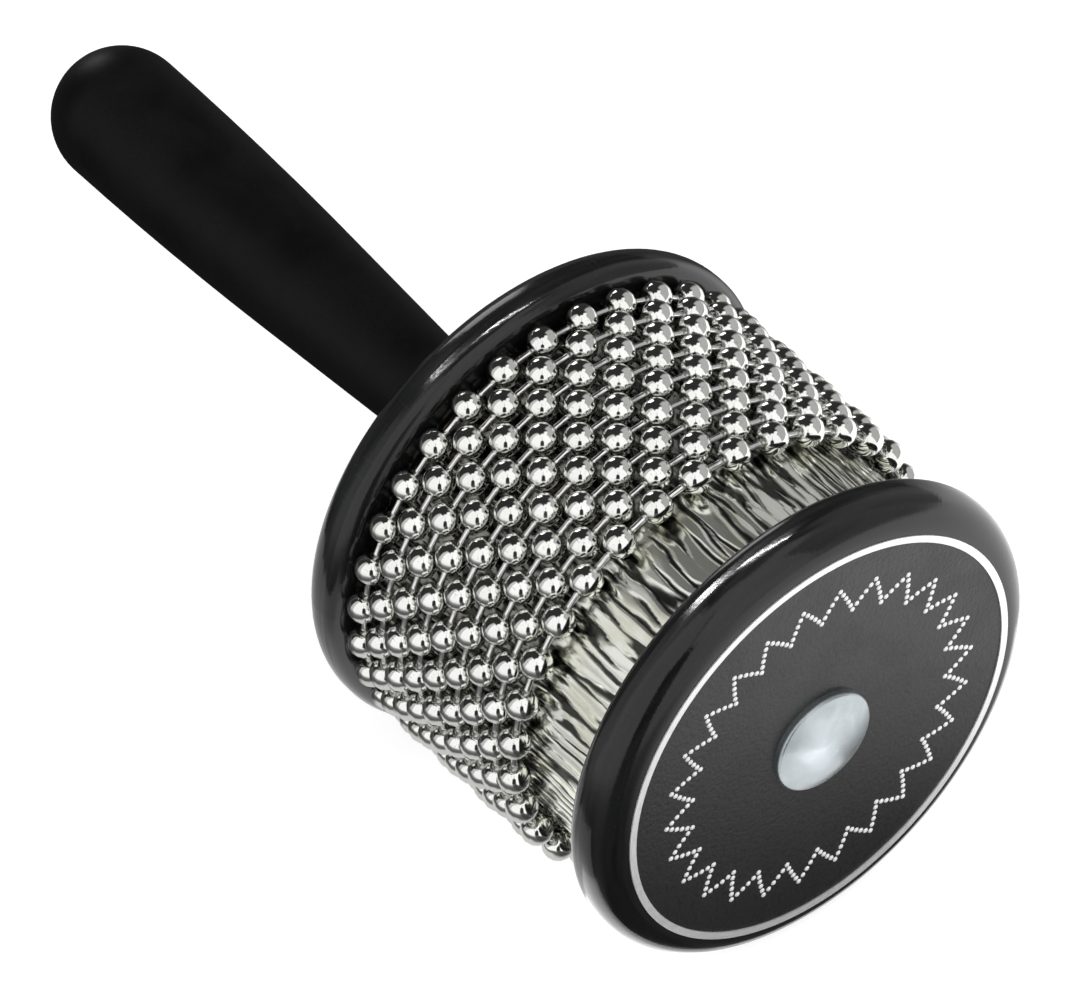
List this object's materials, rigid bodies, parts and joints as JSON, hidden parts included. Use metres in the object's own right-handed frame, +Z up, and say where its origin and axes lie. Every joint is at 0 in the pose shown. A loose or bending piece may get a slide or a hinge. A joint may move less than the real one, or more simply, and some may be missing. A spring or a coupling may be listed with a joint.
{
  "type": "cabasa",
  "caption": "Handheld shaker: loops of steel ball chain round a drum wrapped in embossed steel, between two black discs, on a tapered black handle.",
  "frame": {"origin": "centre of the footprint on the ground, with the instrument lying on the rims of its two discs", "axes": "+X along the drum's axis towards the front disc, handle towards -X, +Z up"},
  "size_m": [0.2234, 0.102, 0.102],
  "materials": {
    "handle_black": "satin moulded",
    "disc_black": "satin rim, pebbled front face",
    "silver_foil": "bright foil",
    "core_wood": "turned",
    "embossed_steel": "polished, embossed with long ripples",
    "brad_steel": "plain",
    "zinc_steel": "bright zinc plate",
    "insert_brass": "turned",
    "bead_steel": "polished, with a rolled seam",
    "link_steel": "polished"
  },
  "bodies": {
    "drum_and_handle": {"handle": "handle_black", "handle_insert": "insert_brass", "rear_disc": "disc_black", "front_disc": "disc_black", "front_trim_ring": "silver_foil", "drum_core": "core_wood", "drum_sleeve": "embossed_steel", "sleeve_brads": "brad_steel", "through_bolt": "zinc_steel"},
    "bead_loop_1": {"bead_loop_1_beads": "bead_steel", "bead_loop_1_links": "link_steel"},
    "bead_loop_2": {"bead_loop_2_beads": "bead_steel", "bead_loop_2_links": "link_steel"},
    "bead_loop_3": {"bead_loop_3_beads": "bead_steel", "bead_loop_3_links": "link_steel"},
    "bead_loop_4": {"bead_loop_4_beads": "bead_steel", "bead_loop_4_links": "link_steel"},
    "bead_loop_5": {"bead_loop_5_beads": "bead_steel", "bead_loop_5_links": "link_steel"},
    "bead_loop_6": {"bead_loop_6_beads": "bead_steel", "bead_loop_6_links": "link_steel"},
    "bead_loop_7": {"bead_loop_7_beads": "bead_steel", "bead_loop_7_links": "link_steel"},
    "bead_loop_8": {"bead_loop_8_beads": "bead_steel", "bead_loop_8_links": "link_steel"},
    "bead_loop_9": {"bead_loop_9_beads": "bead_steel", "bead_loop_9_links": "link_steel"}
  },
  "joints": [
    {"name": "bead_spin", "type": "hinge", "parent": "drum_and_handle", "child": "bead_loop_1", "pos_m": [0, 0, 0.051], "axis": [1, 0, 0], "continuous": true},
    {"name": "bead_loop_2_slide", "type": "slide", "parent": "bead_loop_1", "child": "bead_loop_2", "axis": [1, 0, 0], "range_m": [0, 0.00206]},
    {"name": "bead_loop_3_slide", "type": "slide", "parent": "bead_loop_1", "child": "bead_loop_3", "axis": [1, 0, 0], "range_m": [0, 0.00413]},
    {"name": "bead_loop_4_slide", "type": "slide", "parent": "bead_loop_1", "child": "bead_loop_4", "axis": [1, 0, 0], "range_m": [0, 0.00619]},
    {"name": "bead_loop_5_slide", "type": "slide", "parent": "bead_loop_1", "child": "bead_loop_5", "axis": [1, 0, 0], "range_m": [0, 0.00825]},
    {"name": "bead_loop_6_slide", "type": "slide", "parent": "bead_loop_1", "child": "bead_loop_6", "axis": [1, 0, 0], "range_m": [0, 0.01031]},
    {"name": "bead_loop_7_slide", "type": "slide", "parent": "bead_loop_1", "child": "bead_loop_7", "axis": [1, 0, 0], "range_m": [0, 0.01238]},
    {"name": "bead_loop_8_slide", "type": "slide", "parent": "bead_loop_1", "child": "bead_loop_8", "axis": [1, 0, 0], "range_m": [0, 0.01444]},
    {"name": "bead_loop_9_slide", "type": "slide", "parent": "bead_loop_1", "child": "bead_loop_9", "axis": [1, 0, 0], "range_m": [0, 0.0165]}
  ],
  "couplings": [
    {"joint": "bead_loop_2_slide", "follows": "bead_loop_9_slide", "ratio": 0.125},
    {"joint": "bead_loop_3_slide", "follows": "bead_loop_9_slide", "ratio": 0.25},
    {"joint": "bead_loop_4_slide", "follows": "bead_loop_9_slide", "ratio": 0.375},
    {"joint": "bead_loop_5_slide", "follows": "bead_loop_9_slide", "ratio": 0.5},
    {"joint": "bead_loop_6_slide", "follows": "bead_loop_9_slide", "ratio": 0.625},
    {"joint": "bead_loop_7_slide", "follows": "bead_loop_9_slide", "ratio": 0.75},
    {"joint": "bead_loop_8_slide", "follows": "bead_loop_9_slide", "ratio": 0.875}
  ]
}
